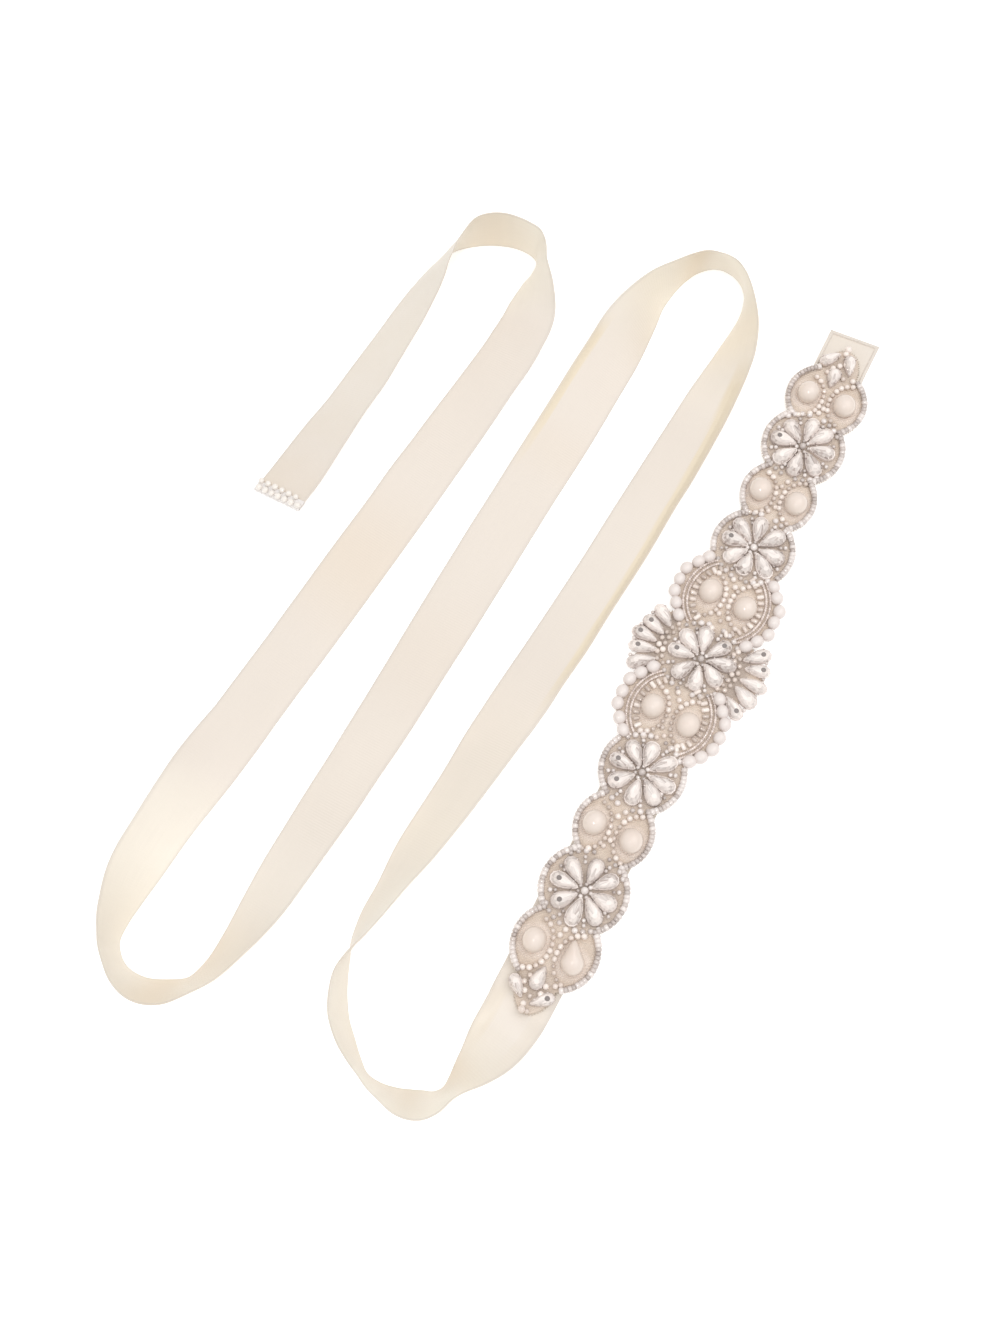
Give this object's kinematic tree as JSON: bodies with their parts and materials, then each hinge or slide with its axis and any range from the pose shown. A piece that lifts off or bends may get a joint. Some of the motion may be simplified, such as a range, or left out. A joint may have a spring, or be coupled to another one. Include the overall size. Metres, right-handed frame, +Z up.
{
  "type": "bridal sash",
  "caption": "Long satin ribbon sash laid in loose turns, with a lobed applique of crystal flowers, pearls and bead borders sewn over its last stretch",
  "frame": {"origin": "the middle of the bounding box, on the surface that the sash lies on", "axes": "+Z up from the surface; +Y away from the viewer, along which the ribbon's runs are longest; +X to the right, towards the applique"},
  "size_m": [0.3181, 0.3789, 0.0254],
  "materials": {
    "satin": "ivory satin ribbon with a soft sheen",
    "net": "whitish netting over the ribbon's cut end",
    "backing": "beige stiffened net, closely stitched",
    "silver": "silver-lined bead border",
    "crystal": "clear cut crystal, foil backed",
    "pearl": "ivory pearl"
  },
  "bodies": {
    "root": {"free_end_binding": "net", "ribbon_run_1": "satin", "ribbon_turn_1": "satin", "ribbon_run_2": "satin", "ribbon_turn_2": "satin", "ribbon_run_3": "satin", "ribbon_turn_3": "satin", "ribbon_run_4": "satin", "ribbon_turn_4": "satin", "ribbon_turn_5": "satin", "ribbon_run_5": "satin", "ribbon_under_applique": "satin", "ribbon_tab": "satin", "applique_backing": "backing", "bead_border_lower_left": "silver", "bead_border_lower_right": "silver", "bead_border_upper_left": "silver", "bead_border_upper_right": "silver", "fan_left": "crystal", "fan_right": "crystal", "finial_lower": "crystal", "finial_upper": "crystal", "flower_lower_1": "crystal", "flower_lower_2": "crystal", "flower_middle": "crystal", "flower_upper_1": "crystal", "flower_upper_2": "crystal", "pearl_lower_1_left": "pearl", "pearl_lower_1_right": "pearl", "pearl_lower_2_left": "pearl", "pearl_lower_2_right": "pearl", "pearl_lower_3_left": "pearl", "pearl_lower_3_right": "pearl", "pearl_upper_1_left": "pearl", "pearl_upper_1_right": "pearl", "pearl_upper_2_left": "pearl", "pearl_upper_2_right": "pearl", "pearl_upper_3_left": "pearl", "pearl_upper_3_right": "pearl", "scallop_beads_lower_left": "pearl", "scallop_beads_lower_right": "pearl", "scallop_beads_upper_left": "pearl", "scallop_beads_upper_right": "pearl"}
  },
  "joints": []
}
